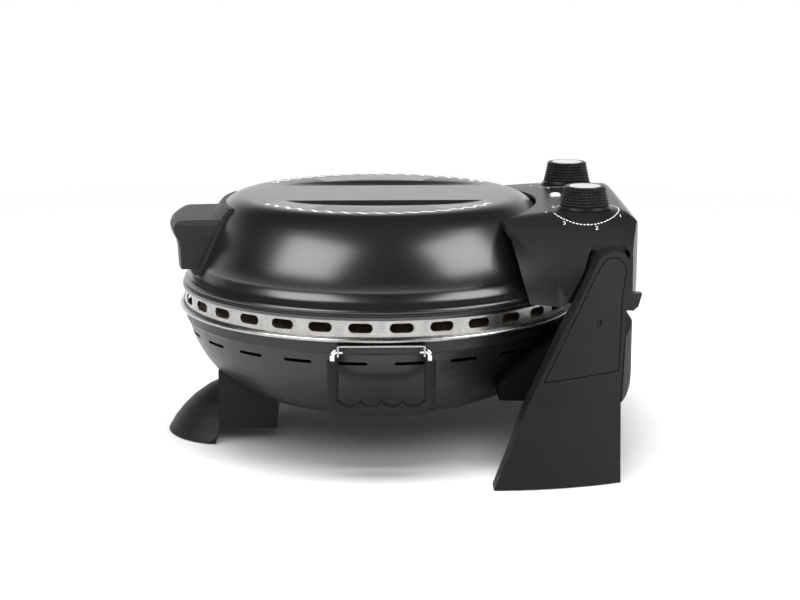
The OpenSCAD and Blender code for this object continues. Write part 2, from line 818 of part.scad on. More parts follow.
module floor_window(shrink) {
    difference() {
        translate([-100 + shrink, 100, housing_low - cut]) cube([200 - 2 * shrink, housing_reach - 122 - shrink, housing_wall + 2 * cut]);
        translate([0, 0, housing_low - 2 * cut]) cylinder(r = ring_r + 4.5 + shrink, h = housing_wall + 4 * cut);
    }
}

// The room that the housing leaves for the dome, open above the dome's shoulder
module dome_clearance() {
    low = [for (p = dome_line) if (p[1] < dome_top - 14) p];
    r = ring_r - 32;
    rotate_extrude() polygon(concat([[0, dome_z - 20], [ring_r + 1.5 + housing_gap, dome_z - 20]], beside(low, -housing_gap),
        [[r, dome_top - 12], [r, dome_top + 20], [0, dome_top + 20]]));
}

module control_housing() {
    color("#262627") at_oven() difference() {
        union() {
            housing_form(0);
            at_knobs() translate([0, 0, knob_seat - 8]) cylinder(r1 = knob_d / 2 + 7, r2 = knob_d / 2 + 1.2, h = 8);
            for (s = [1, -1]) side_x(s) cheek();
        }
        difference() {
            housing_form(housing_wall);
            for (s = [1, -1]) side_x(s) recess(recess_x - 4, housing_wall);
        }
        for (s = [1, -1]) side_x(s) recess(recess_x, 0);
        for (s = [1, -1]) side_x(s) bar_x(recess_x - 14, recess_x + cut, hinge_y, hinge_z, 7);
        dome_clearance();
        at_knobs() translate([0, 0, knob_seat]) cylinder(r = knob_d / 2 + 0.8, h = 20);
        at_knobs() translate([0, 0, housing_top - 40]) cylinder(d = shaft_d + 2 * running_gap, h = 60);
        translate([0, knob_y - 17.5, housing_top - 20]) cylinder(r = 5.2, h = 40);
        floor_window(0);
    }
}

module housing_floor() {
    color("#1e1e1f") at_oven() intersection() {
        floor_window(0.3);
        translate([-150, 90, housing_low + 0.2]) cube([300, 150, housing_wall - 0.6]);
    }
}

module hinge_bushes() {
    color("#cfcbbf") at_oven() for (s = [1, -1]) side_x(s) difference() {
        union() {
            bar_x(recess_x - 10, recess_x - 4.1, hinge_y, hinge_z, 9);
            bar_x(recess_x - 5, recess_x - 0.2, hinge_y, hinge_z, 6.9);
        }
        bar_x(recess_x - 12, recess_x + 2, hinge_y, hinge_z, pin_d / 2 + running_gap);
    }
}

module pilot_lamp() {
    color("#e9ecef") at_oven() translate([0, knob_y - 17.5, housing_top - 7]) rotate_extrude()
        polygon([[0, 0], [5, 0], [5, 5.6], [4.2, 7.2], [2.4, 7.9], [0, 8.1]]);
}

// ---- Thermostat, timer and knobs ----

body_z = housing_top - 34;

module control_body(x, wide) {
    at_oven() translate([x, knob_y, body_z]) difference() {
        union() {
            translate([-wide / 2, -14, 0]) cube([wide, 28, 18]);
            cylinder(r = 7, h = 26);
        }
        translate([0, 0, 8]) cylinder(d = shaft_d + 2 * running_gap, h = 20);
    }
}

module knob_shaft(x) {
    at_oven() translate([x, knob_y, body_z + 10]) cylinder(d = shaft_d, h = knob_z + 12 - body_z - 10);
}

module knob(x) {
    rows = 5;
    band = 3;
    row_h = (knob_h - band - 1) / rows;
    slope = (knob_d - knob_top_d) / 2 / knob_h;
    wall = concat([[knob_d / 2, 0], [knob_d / 2 - slope * band, band]],
        [for (i = [0:rows - 1], p = [[-0.8, 0.2], [0, 0.9], [0, row_h - 0.3]])
            [knob_d / 2 - slope * (band + i * row_h) + p[0], band + i * row_h + p[1]]],
        [[knob_top_d / 2, knob_h - 1], [knob_top_d / 2 - 1.2, knob_h]]);
    at_oven() translate([x, knob_y, knob_z]) difference() {
        rotate_extrude() polygon(concat([[0, 0]], wall, [[disc_d / 2 + 0.2, knob_h], [disc_d / 2 + 0.2, knob_h - 1.2],
            [0, knob_h - 1.2]]));
        for (i = [0:knob_grips - 1]) rotate([0, 0, i * 360 / knob_grips])
            translate([knob_d / 2 - slope * band, 0, band + 0.4]) rotate([0, -atan(slope), 0]) rotate([0, 0, 45])
                translate([-0.7, -0.7, 0]) cube([1.4, 1.4, knob_h]);
        translate([0, 0, -cut]) cylinder(d = shaft_d + 0.04, h = 12.2 + cut);
    }
}

module knob_disc(x) {
    at_oven() translate([x, knob_y, knob_z + knob_h - 1.1]) cylinder(d = disc_d, h = 1.3);
}

module thermostat() {
    color("#d8d4c8") control_body(knob_x, 34);
}

module timer() {
    color("#a7aaad") control_body(-knob_x, 40);
}

module thermostat_shaft() {
    color("#c4c6c8") knob_shaft(knob_x);
}

module timer_shaft() {
    color("#c4c6c8") knob_shaft(-knob_x);
}

module thermostat_knob() {
    color("#1f1f20") knob(knob_x);
}

module timer_knob() {
    color("#1f1f20") knob(-knob_x);
}

module thermostat_disc() {
    color("#e6e7e8") knob_disc(knob_x);
}

module timer_disc() {
    color("#e6e7e8") knob_disc(-knob_x);
}

base_bowl();
vent_ring();
baking_stone();
lower_element();
element_feet();
reflector_pan();
front_foot();
foot_pads();
right_leg();
left_leg();
right_leg_cover();
left_leg_cover();
leg_screws();
hinge_pins();
rear_housing();
cable_gland();
terminal_block();
right_bail_bracket();
left_bail_bracket();
right_bail_wire();
left_bail_wire();
right_bail_grip();
left_bail_grip();
lid_dome();
lid_liner();
upper_element();
element_hangers();
lid_handle();
handle_plate();
handle_screws();
control_housing();
housing_floor();
hinge_bushes();
pilot_lamp();
thermostat();
timer();
thermostat_shaft();
timer_shaft();
thermostat_knob();
timer_knob();
thermostat_disc();
timer_disc();
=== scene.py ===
"""Dresses the packed countertop pizza maker: smooth shells, dials, finishes, studio and camera."""
import math

import bmesh
import bpy
from mathutils import Matrix, Vector
from mathutils.bvhtree import BVHTree


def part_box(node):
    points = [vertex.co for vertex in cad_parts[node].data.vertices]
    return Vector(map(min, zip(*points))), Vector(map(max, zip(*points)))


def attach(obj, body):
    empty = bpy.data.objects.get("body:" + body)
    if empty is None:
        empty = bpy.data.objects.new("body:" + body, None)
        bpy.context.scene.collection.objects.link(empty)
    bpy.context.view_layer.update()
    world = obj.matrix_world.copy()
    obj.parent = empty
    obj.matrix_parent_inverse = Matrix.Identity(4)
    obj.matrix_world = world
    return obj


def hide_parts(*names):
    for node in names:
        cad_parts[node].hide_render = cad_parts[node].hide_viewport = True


bl_info = {
    "name": "Pizza maker scene",
    "version": (1, 0, 0),
    "blender": (4, 5, 0),
    "location": "3D View > Sidebar > Pizza maker",
    "description": "Adds smooth shells, dials, finishes and a studio to the pizza maker's frame",
    "category": "Object",
}

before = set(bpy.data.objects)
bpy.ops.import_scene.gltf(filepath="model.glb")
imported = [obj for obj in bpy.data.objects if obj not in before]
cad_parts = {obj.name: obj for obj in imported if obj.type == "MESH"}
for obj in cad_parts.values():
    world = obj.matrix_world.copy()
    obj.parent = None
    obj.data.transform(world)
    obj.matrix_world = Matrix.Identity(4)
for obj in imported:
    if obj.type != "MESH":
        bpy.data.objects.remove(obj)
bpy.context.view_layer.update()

# The bowl's upright axis stands at x = 0 and this y
AXIS_Y = -0.019
# Where the axes of the two knobs stand
KNOB_SPOTS = {"thermostat": (0.075, 0.1555), "timer": (-0.075, 0.1555)}


# ---- Sizes and colours that a user would change ----


class OrnamentSizes(bpy.types.PropertyGroup):
    """The wavy line printed round the dome's top"""

    radius: bpy.props.FloatProperty(
        name="Radius", description="Radius of the wavy line round the dome's middle",
        default=0.1135, min=0.09, max=0.13, unit="LENGTH")
    wave: bpy.props.FloatProperty(
        name="Wave", description="Height of the wave to each side of its line",
        default=0.0021, min=0.0, max=0.004, unit="LENGTH")
    pitch: bpy.props.FloatProperty(
        name="Pitch", description="Length of one wave",
        default=0.014, min=0.006, max=0.03, unit="LENGTH")
    width: bpy.props.FloatProperty(
        name="Width", description="Width of the printed line where it is widest",
        default=0.0044, min=0.0005, max=0.005, unit="LENGTH")
    reach: bpy.props.FloatProperty(
        name="Reach", description="Angle that each line covers to either side of its middle",
        default=math.radians(57), min=0.2, max=1.5, subtype="ANGLE", unit="ROTATION")


class DomeSizes(bpy.types.PropertyGroup):
    """The dome and its pressed flutes"""

    around: bpy.props.IntProperty(
        name="Divisions", description="Number of divisions round the dome", default=256, min=64, max=512)
    flute_edge: bpy.props.FloatProperty(
        name="Flute edge", description="Distance of a flute's straight edge from the middle",
        default=0.043, min=0.038, max=0.048, unit="LENGTH")
    flute_width: bpy.props.FloatProperty(
        name="Flute width", description="Width of a flute at its middle",
        default=0.030, min=0.02, max=0.032, unit="LENGTH")
    flute_depth: bpy.props.FloatProperty(
        name="Flute depth", description="Depth of a flute at its upright edge",
        default=0.0045, min=0.003, max=0.006, unit="LENGTH")
    flute_length: bpy.props.FloatProperty(
        name="Flute length", description="Length of a flute from point to point",
        default=0.172, min=0.13, max=0.19, unit="LENGTH")


class DialSizes(bpy.types.PropertyGroup):
    """The printed scales round the knobs"""

    ring: bpy.props.FloatProperty(
        name="Ring", description="Radius of the dashed ring round a knob",
        default=0.0285, min=0.024, max=0.036, unit="LENGTH")
    dash: bpy.props.FloatProperty(
        name="Dash width", description="Width of the dashes across the ring",
        default=0.0011, min=0.0004, max=0.003, unit="LENGTH")
    figure: bpy.props.FloatProperty(
        name="Figure height", description="Height of the numbers on the scales",
        default=0.0042, min=0.002, max=0.008, unit="LENGTH")


class FinishColours(bpy.types.PropertyGroup):
    """Colours of the finishes"""

    dome: bpy.props.FloatVectorProperty(
        name="Dome", description="Satin paint on the dome", subtype="COLOR", size=3,
        default=(0.006, 0.006, 0.0062), min=0.0, max=1.0)
    bowl: bpy.props.FloatVectorProperty(
        name="Bowl", description="Semi-gloss enamel on the bowl", subtype="COLOR", size=3,
        default=(0.009, 0.009, 0.0096), min=0.0, max=1.0)
    moulding: bpy.props.FloatVectorProperty(
        name="Mouldings", description="Grained plastic of the housing, legs and foot",
        subtype="COLOR", size=3, default=(0.0085, 0.0085, 0.0088), min=0.0, max=1.0)
    handle: bpy.props.FloatVectorProperty(
        name="Handle", description="Matt plastic of the lid handle", subtype="COLOR", size=3,
        default=(0.019, 0.019, 0.020), min=0.0, max=1.0)
    steel: bpy.props.FloatVectorProperty(
        name="Steel", description="Bare stainless steel", subtype="COLOR", size=3,
        default=(0.44, 0.43, 0.42), min=0.0, max=1.0)
    stone: bpy.props.FloatVectorProperty(
        name="Stone", description="Refractory baking stone", subtype="COLOR", size=3,
        default=(0.46, 0.36, 0.27), min=0.0, max=1.0)


class KnobSizes(bpy.types.PropertyGroup):
    """The knurled knobs"""

    base: bpy.props.FloatProperty(
        name="Base radius", description="Radius of a knob at its foot",
        default=0.0215, min=0.018, max=0.0215, unit="LENGTH")
    top: bpy.props.FloatProperty(
        name="Top radius", description="Radius of a knob at its top",
        default=0.0175, min=0.015, max=0.019, unit="LENGTH")
    height: bpy.props.FloatProperty(
        name="Height", description="Height of a knob",
        default=0.019, min=0.015, max=0.019, unit="LENGTH")
    columns: bpy.props.IntProperty(
        name="Columns", description="Number of studs round a knob", default=36, min=20, max=48)
    rows: bpy.props.IntProperty(
        name="Rows", description="Number of studs up a knob", default=6, min=4, max=8)
    groove: bpy.props.FloatProperty(
        name="Groove", description="Depth of the grooves between the studs",
        default=0.0009, min=0.0002, max=0.0015, unit="LENGTH")


class StudioSizes(bpy.types.PropertyGroup):
    """Lights and camera"""

    key: bpy.props.FloatProperty(
        name="Overhead light", description="Power of the large soft light over the oven",
        default=78.0, min=0.0, max=200.0, unit="POWER")
    side: bpy.props.FloatProperty(
        name="Side lights", description="Power of each softbox that the oven mirrors",
        default=32.0, min=0.0, max=200.0, unit="POWER")
    fill: bpy.props.FloatProperty(
        name="Front fill", description="Power of the weak soft light above the camera",
        default=16.0, min=0.0, max=200.0, unit="POWER")
    room: bpy.props.FloatProperty(
        name="Room light", description="Strength of the even light from all round",
        default=0.14, min=0.0, max=2.0)
    lens: bpy.props.FloatProperty(
        name="Lens", description="Focal length of the camera on a 36 mm frame",
        default=95.17, min=20.0, max=300.0, unit="CAMERA")


# ---- Shader building ----


class Strand:
    """An output socket that can be used in sums"""

    def __init__(self, nodes, socket):
        self.nodes = nodes
        self.socket = socket

    def __add__(self, other):
        return self.nodes.maths("ADD", self, other)

    def __radd__(self, other):
        return self.nodes.maths("ADD", other, self)

    def __sub__(self, other):
        return self.nodes.maths("SUBTRACT", self, other)

    def __rsub__(self, other):
        return self.nodes.maths("SUBTRACT", other, self)

    def __mul__(self, other):
        return self.nodes.maths("MULTIPLY", self, other)

    def __rmul__(self, other):
        return self.nodes.maths("MULTIPLY", other, self)

    def __truediv__(self, other):
        return self.nodes.maths("DIVIDE", self, other)

    def __rtruediv__(self, other):
        return self.nodes.maths("DIVIDE", other, self)

    def __pow__(self, other):
        return self.nodes.maths("POWER", self, other)

    def __rpow__(self, other):
        return self.nodes.maths("POWER", other, self)


class Nodes:
    """A node tree being built, with one method that adds any node"""

    def __init__(self, tree):
        self.tree = tree

    def node(self, kind, settings=None, sockets=None, out=0):
        """Adds a node, sets it, fills or links its sockets, and gives the output asked for"""
        added = self.tree.nodes.new("ShaderNode" + kind)
        for key, value in (settings or {}).items():
            setattr(added, key, value)
        for key, value in (sockets or {}).items():
            self.feed(added.inputs[key], value)
        return None if out is None else Strand(self, added.outputs[out])

    def feed(self, socket, value):
        if isinstance(value, Strand):
            self.tree.links.new(value.socket, socket)
        else:
            socket.default_value = value

    def maths(self, operation, *terms):
        return self.node("Math", {"operation": operation}, dict(enumerate(terms)))

    def vectors(self, operation, *terms):
        return self.node("VectorMath", {"operation": operation}, dict(enumerate(terms)))

    def split(self, vector):
        """The x, y and z of a vector"""
        parts = self.node("SeparateXYZ", sockets={0: vector}).socket.node.outputs
        return [Strand(self, part) for part in parts]

    def join(self, *parts):
        return self.node("CombineXYZ", sockets=dict(enumerate(parts)))

    def spread(self, mask, low, high, start=0.35, end=0.65):
        """Takes a mask from start and end to the values low and high"""
        return self.node("MapRange", {"clamp": True}, {0: mask, 1: start, 2: end, 3: low, 4: high})

    # A Mix node's sockets go by number, because its numbers and its colours share their names

    def blend(self, mask, first, second):
        """A number between first and second"""
        return self.node("Mix", {"data_type": "FLOAT"}, {0: mask, 2: first, 3: second})

    def mix(self, mask, first, second):
        """A colour between first and second, each of them three numbers or a socket"""
        first, second = (c if isinstance(c, Strand) else (*c, 1.0) for c in (first, second))
        return self.node("Mix", {"data_type": "RGBA"}, {0: mask, 6: first, 7: second}, out=2)


class Finish(Nodes):
    """A material being built round its main shader, whose fixed sockets are named with underscores"""

    def __init__(self, name, **fixed):
        self.material = bpy.data.materials.new(name)
        self.material.use_nodes = True
        super().__init__(self.material.node_tree)
        self.shader = self.tree.nodes["Principled BSDF"]
        for socket, value in fixed.items():
            self.shader.inputs[socket.replace("_", " ")].default_value = value

    def vary(self, socket, value):
        self.feed(self.shader.inputs[socket], value)

    def tint(self, mask, first, second, start=0.35, end=0.65):
        """Colours the surface from first to second as the mask goes from start to end"""
        self.vary("Base Color", self.mix(self.spread(mask, 0.0, 1.0, start, end), first, second))

    def gloss(self, mask, low, high):
        """Sets the roughness between low and high by a mask"""
        self.vary("Roughness", self.spread(mask, low, high))

    def bump(self, height, depth, strength, normal=None):
        """Raises the surface by a mask, depth metres at most"""
        sockets = {"Height": height, "Distance": depth, "Strength": strength}
        if normal:
            sockets["Normal"] = normal
        self.vary("Normal", self.node("Bump", sockets=sockets))

    def place(self, centre=(0.0, AXIS_Y)):
        """Object coordinates measured from the upright line through centre, in metres"""
        return self.vectors("SUBTRACT", self.node("TexCoord", out="Object"), (*centre, 0.0))

    def round_place(self, along, up):
        """Coordinates that run round the bowl's axis, for brushed rings"""
        x, y, z = self.split(self.place())
        return self.join(self.maths("ARCTAN2", y, x) * along, z * up, span(x, y) * up)

    def noise(self, scale, detail=2.0, rough=0.5, where=None):
        return self.node("TexNoise", sockets={
            "Vector": where or self.place(), "Scale": scale, "Detail": detail, "Roughness": rough})

    def cells(self, scale, **settings):
        return self.node("TexVoronoi", settings, {"Vector": self.place(), "Scale": scale})

    def facing(self, x, y, z):
        """The world's direction for a direction of the object"""
        settings = {"vector_type": "NORMAL", "convert_from": "OBJECT", "convert_to": "WORLD"}
        return self.vectors("NORMALIZE", self.node("VectorTransform", settings, {0: self.join(x, y, z)}))

    def bellied(self, middle, half, bend):
        """The object's normals, as on an upright wall that bulges round the height middle

        They lean down by bend where the wall is half below middle, and up by it half above.
        """
        x, y, z = self.split(self.node("TexCoord", out="Normal"))
        height = self.split(self.place())[2]
        upright = x * x + y * y
        lean = self.spread(height, -bend, bend, middle - half, middle + half) * upright * upright
        return self.facing(x, y, z + lean)

    def crowned(self, middle, rise, radius, corner, turn):
        """The object's normals, eased over its crown and round the two upright corners next to the dome

        The crown's curve starts middle metres to either side and rise metres up, and has this radius.
        The corners lie where y is less than corner, and turn their faces by this angle towards the dome.
        """
        corner_depth, front_from, front_to = 0.062, 0.019, 0.015
        nx, ny, nz = self.split(self.node("TexCoord", out="Normal"))
        x, y, z = self.split(self.place())
        side = self.maths("SIGN", x)
        out = self.spread(x * side, 0.0, 1.0, middle, middle + radius)
        up = self.spread(z, 0.0, 1.0, rise, rise + radius)
        swing = self.spread(y, turn, 0.0, corner - corner_depth, corner)
        ex = side * out * self.maths("COSINE", swing)
        ey = -1.0 * out * self.maths("SINE", swing)
        size = (ex * ex + ey * ey + up * up) ** 0.5
        # Only faces that look nearly the eased way, and that lie in the outer skin, are turned
        same = self.spread((nx * ex + ny * ey + nz * up) / size, 0.0, 1.0, 0.25, 0.45)
        shell = self.spread(out * out + up * up, 0.0, 1.0, 0.90, 0.96)
        front = self.spread(y, 1.0, 0.0, corner - front_from, corner - front_to)
        part = same * self.maths("MAXIMUM", shell, front)
        rest = 1.0 - part
        return self.facing(*(n * rest + e / size * part for n, e in ((nx, ex), (ny, ey), (nz, up))))


def span(x, y):
    """Distance from the axis"""
    return (x * x + y * y) ** 0.5


def shade(colour, factor):
    """A colour made lighter or darker"""
    return tuple(min(1.0, c * factor) for c in colour)


def grey(level):
    return (level, level, level)


# ---- Finishes ----

# Each takes the colours that a user can change, where it uses them. A noise is given by its waves in a metre
# and its detail, and a depth is in metres.


def satin_dome_paint(c):
    f = Finish("satin_dome_paint", IOR=1.75)
    f.tint(f.noise(9.0, 3.0), c.dome, shade(c.dome, 1.25))
    f.gloss(f.noise(60.0, 4.0), 0.275, 0.285)
    f.bump(f.noise(900.0), depth=0.00003, strength=0.2, normal=f.bellied(middle=0.178, half=0.019, bend=0.40))
    return f.material


def bowl_enamel(c):
    f = Finish("bowl_enamel", IOR=1.5)
    f.tint(f.noise(12.0, 3.0), c.bowl, shade(c.bowl, 1.3))
    f.gloss(f.noise(80.0, 4.0), 0.32, 0.40)
    f.bump(f.noise(700.0, 3.0), depth=0.00008, strength=0.4)
    return f.material


def brushed_ring_steel(c):
    f = Finish("brushed_ring_steel", Metallic=1.0)
    bands = f.noise(1.0, 3.0, 0.6, f.round_place(along=26.0, up=60.0))
    lines = f.noise(1.0, 6.0, 0.65, f.round_place(along=9.0, up=2600.0))
    f.tint(bands, shade(c.steel, 0.86), shade(c.steel, 1.06))
    f.gloss(lines, 0.20, 0.34)
    f.bump(lines, depth=0.00003, strength=0.35)
    return f.material


def refractory_stone(c):
    f = Finish("refractory_stone", Roughness=0.92)
    blotched = f.mix(f.spread(f.noise(28.0, 6.0, 0.6), 0.0, 1.0), shade(c.stone, 0.86), shade(c.stone, 1.1))
    specks = f.spread(f.noise(420.0, 3.0), 0.0, 0.45, 0.55, 0.70)
    f.vary("Base Color", f.mix(specks, blotched, shade(c.stone, 0.45)))
    pores = f.spread(f.cells(320.0), 0.0, 1.0, 0.05, 0.35)
    f.bump(pores + 0.6 * f.noise(500.0, 4.0), depth=0.00025, strength=0.6)
    return f.material


def heated_tube():
    f = Finish("heated_tube", Metallic=0.85)
    f.tint(f.noise(40.0, 4.0), (0.16, 0.15, 0.145), (0.27, 0.24, 0.21))
    f.gloss(f.noise(180.0, 3.0), 0.42, 0.60)
    f.bump(f.noise(1200.0), depth=0.00003, strength=0.4)
    return f.material


def pressed_sheet():
    f = Finish("pressed_sheet", Metallic=1.0)
    f.tint(f.noise(14.0, 5.0, 0.6), (0.58, 0.59, 0.60), grey(0.70))
    f.gloss(f.noise(90.0, 5.0, 0.65), 0.30, 0.46)
    f.bump(f.noise(400.0, 3.0), depth=0.00004, strength=0.3)
    return f.material


def grained(name, colour, low, high, grain=1500.0, depth=0.00012, level=0.22, crown=None):
    """Moulded plastic with a fine sparked grain and a roughness from low to high

    The level is that of its highlights. A crown gives the values that ease its normals.
    """
    f = Finish(name, IOR=1.48, Specular_IOR_Level=level)
    fine = f.noise(grain * 1.6)
    f.tint(f.noise(25.0, 3.0), colour, shade(colour, 1.22))
    f.gloss(fine, low, high)
    normal = f.crowned(**crown) if crown else None
    f.bump(f.cells(grain, feature="SMOOTH_F1") * 0.7 + fine * 0.5, depth, strength=0.45, normal=normal)
    return f.material


def grained_moulding(c):
    return grained("grained_moulding", tuple(c.moulding), 0.46, 0.58)


def crowned_moulding(c):
    crown = {"middle": 0.070, "rise": 0.1395, "radius": 0.070, "corner": 0.165, "turn": 0.3}
    return grained("crowned_moulding", tuple(c.moulding), 0.33, 0.42, level=0.5, crown=crown)


# Painted shade: the moulding's colour darkened to three tenths, with weak highlights, for the rear housing
# that lies in the bowl's shadow
def shaded_moulding(c):
    return grained("shaded_moulding", shade(c.moulding, 0.3), 0.50, 0.62, level=0.06)


def cover_moulding(c):
    return grained("cover_moulding", shade(c.moulding, 1.12), 0.48, 0.60, grain=1700.0)


def handle_moulding(c):
    return grained("handle_moulding", tuple(c.handle), 0.42, 0.52, grain=1900.0, depth=0.00008)


def knob_moulding(c):
    return grained("knob_moulding", shade(c.moulding, 0.85), 0.36, 0.48, grain=2200.0, depth=0.00006)


def soft_grip(c):
    return grained("soft_grip", shade(c.moulding, 0.9), 0.55, 0.68, grain=1300.0, depth=0.0001)


def foot_rubber():
    return grained("foot_rubber", grey(0.012), 0.72, 0.85, grain=900.0, depth=0.0001)


def bush_plastic():
    return grained("bush_plastic", (0.66, 0.64, 0.58), 0.38, 0.46, grain=1200.0, depth=0.00005)


def black_screw():
    f = Finish("black_screw", Metallic=0.8)
    wear = f.noise(900.0, 4.0)
    f.tint(wear, grey(0.02), grey(0.10), 0.5, 0.75)
    f.gloss(wear, 0.34, 0.5)
    return f.material


def bright_pin():
    f = Finish("bright_pin", Metallic=1.0)
    lines = f.noise(1.0, 4.0, 0.6, f.vectors("MULTIPLY", f.place(), (2500.0, 200.0, 200.0)))
    f.tint(lines, (0.62, 0.62, 0.63), grey(0.76))
    f.gloss(lines, 0.16, 0.28)
    return f.material


def polished_wire():
    f = Finish("polished_wire", Metallic=1.0)
    film = f.noise(160.0, 3.0)
    f.tint(film, grey(0.72), grey(0.82))
    f.gloss(film, 0.07, 0.13)
    return f.material


def glazed_ceramic():
    f = Finish("glazed_ceramic", IOR=1.5)
    dust = f.noise(120.0, 4.0)
    f.tint(dust, (0.74, 0.72, 0.66), (0.82, 0.80, 0.75))
    f.gloss(dust, 0.30, 0.45)
    f.bump(f.noise(700.0, 3.0), depth=0.00005, strength=0.3)
    return f.material


def lamp_lens():
    f = Finish("lamp_lens", IOR=1.49, Coat_Weight=0.4, Coat_Roughness=0.08)
    frost = f.noise(1400.0, 3.0)
    f.tint(frost, (0.74, 0.76, 0.78), (0.86, 0.87, 0.88))
    f.gloss(frost, 0.22, 0.36)
    return f.material


def spun_disc(spot):
    """Turned aluminium, with its rings about the knob at spot"""
    f = Finish("spun_disc", Metallic=1.0)
    x, y, _ = f.split(f.place(spot))
    rings = f.noise(1.0, 3.0, 0.6, f.join(span(x, y) * 5200.0, f.maths("ARCTAN2", y, x) * 1.5))
    f.tint(rings, (0.46, 0.46, 0.47), grey(0.56))
    f.gloss(rings, 0.16, 0.30)
    f.bump(rings, depth=0.00002, strength=0.5)
    return f.material


def white_print():
    f = Finish("white_print", IOR=1.5)
    worn = f.noise(1600.0, 4.0)
    f.tint(worn, grey(0.60), grey(0.82), 0.3, 0.6)
    f.gloss(worn, 0.42, 0.55)
    return f.material


def dress(look, *nodes):
    """Puts a material in every slot of these frame nodes"""
    for name in nodes:
        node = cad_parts[name]
        if not node.material_slots:
            node.data.materials.append(look)
        for slot in node.material_slots:
            slot.material = look


# ---- Mesh helpers ----


def new_piece(name, mesh, look, body):
    piece = bpy.data.objects.new(name, mesh)
    bpy.context.scene.collection.objects.link(piece)
    piece.data.materials.append(look)
    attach(piece, body)
    return piece


def mesh_from(name, corners, faces, smooth=True):
    mesh = bpy.data.meshes.new(name)
    mesh.from_pydata(corners, [], faces)
    mesh.validate()
    if smooth:
        mesh.shade_smooth()
    mesh.update()
    return mesh


def on_circle(centre, radius, turn):
    return centre[0] + radius * math.cos(turn), centre[1] + radius * math.sin(turn)


def surface_of(node):
    """A search tree over a frame node's faces"""
    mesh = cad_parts[node].data
    corners = [v.co.copy() for v in mesh.vertices]
    return BVHTree.FromPolygons(corners, [tuple(p.vertices) for p in mesh.polygons])


def onto(tree, x, y):
    """The point of the surface under (x, y), raised along its normal by the thickness of the print"""
    over_all, print_thick = 0.3, 0.00015
    spot, normal, _, _ = tree.ray_cast(Vector((x, y, over_all)), Vector((0.0, 0.0, -1.0)))
    if spot is None:
        raise RuntimeError(f"nothing lies under {x:.4f}, {y:.4f}")
    return spot + normal * print_thick


def strip_on(tree, paths):
    """Flat strips laid on a surface; each path is a list of (left, right) point pairs"""
    corners, faces = [], []
    for path in paths:
        start = len(corners)
        for left, right in path:
            corners += [onto(tree, *left), onto(tree, *right)]
        for a in range(start, len(corners) - 2, 2):
            faces.append((a, a + 1, a + 3, a + 2))
    return corners, faces


def turned(rows, centre, looped=False):
    """Corners and faces of stacked rings, each given as (height, radii)

    The first and last ring get a flat end, or are joined to each other where the rows are looped.
    """
    around = len(rows[0][1])
    corners, faces = [], []
    for height, radii in rows:
        for i, radius in enumerate(radii):
            corners.append((*on_circle(centre, radius, 2 * math.pi * i / around), height))
    for k in range(len(rows) if looped else len(rows) - 1):
        low, high = k * around, (k + 1) % len(rows) * around
        for i in range(around):
            j = (i + 1) % around
            faces.append((low + i, low + j, high + j, high + i))
    if not looped:
        faces.append(tuple(reversed(range(around))))
        faces.append(tuple(range(len(corners) - around, len(corners))))
    return corners, faces


def eased(points, steps):
    """Adds steps - 1 points between each pair on a smooth curve through them"""
    made = []
    for i in range(len(points) - 1):
        a, b = points[max(i - 1, 0)], points[i]
        c, d = points[i + 1], points[min(i + 2, len(points) - 1)]
        for k in range(steps):
            t = k / steps
            made.append(tuple(
                0.5 * (2 * q + (r - p) * t + (2 * p - 5 * q + 4 * r - s) * t * t
                       + (3 * q - p - 3 * r + s) * t ** 3)
                for p, q, r, s in zip(a, b, c, d)))
    made.append(points[-1])
    return made


# ---- Pieces ----


class PIZZA_OT_dress_base(bpy.types.Operator):
    """Finish the bowl, ring, stone, heating parts, legs and foot"""

    bl_idname = "pizza.dress_base"
    bl_label = "Dress the base"

    def execute(self, context):
        c = context.scene.pizza_colours
        dress(bowl_enamel(c), "base_bowl")
        dress(brushed_ring_steel(c), "vent_ring", "right_bail_bracket", "left_bail_bracket")
        dress(refractory_stone(c), "baking_stone")
        dress(heated_tube(), "lower_element", "upper_element")
        dress(pressed_sheet(), "element_feet", "reflector_pan", "lid_liner", "element_hangers", "timer")
        dress(grained_moulding(c), "front_foot", "right_leg", "left_leg", "housing_floor")
        # The rear housing gets the moulding with painted shade in its colour
        dress(shaded_moulding(c), "rear_housing")
        dress(cover_moulding(c), "right_leg_cover", "left_leg_cover")
        dress(foot_rubber(), "foot_pads", "cable_gland")
        dress(black_screw(), "leg_screws", "handle_screws")
        dress(bright_pin(), "hinge_pins", "thermostat_shaft", "timer_shaft")
        dress(glazed_ceramic(), "terminal_block", "thermostat")
        return {"FINISHED"}


class PIZZA_OT_dress_bails(bpy.types.Operator):
    """Finish the side bails"""

    bl_idname = "pizza.dress_bails"
    bl_label = "Dress the bails"

    def execute(self, context):
        dress(polished_wire(), "right_bail_wire", "left_bail_wire")
        dress(soft_grip(context.scene.pizza_colours), "right_bail_grip", "left_bail_grip")
        return {"FINISHED"}


class PIZZA_OT_dress_lid(bpy.types.Operator):
    """Finish the dome, handle, knobs and lamp"""

    bl_idname = "pizza.dress_lid"
    bl_label = "Dress the lid"

    def execute(self, context):
        c = context.scene.pizza_colours
        dress(satin_dome_paint(c), "lid_dome")
        dress(handle_moulding(c), "lid_handle", "handle_plate")
        dress(crowned_moulding(c), "control_housing")
        dress(bush_plastic(), "hinge_bushes")
        dress(lamp_lens(), "pilot_lamp")
        dress(knob_moulding(c), "thermostat_knob", "timer_knob")
        for name, spot in KNOB_SPOTS.items():
            dress(spun_disc(spot), name + "_disc")
        return {"FINISHED"}


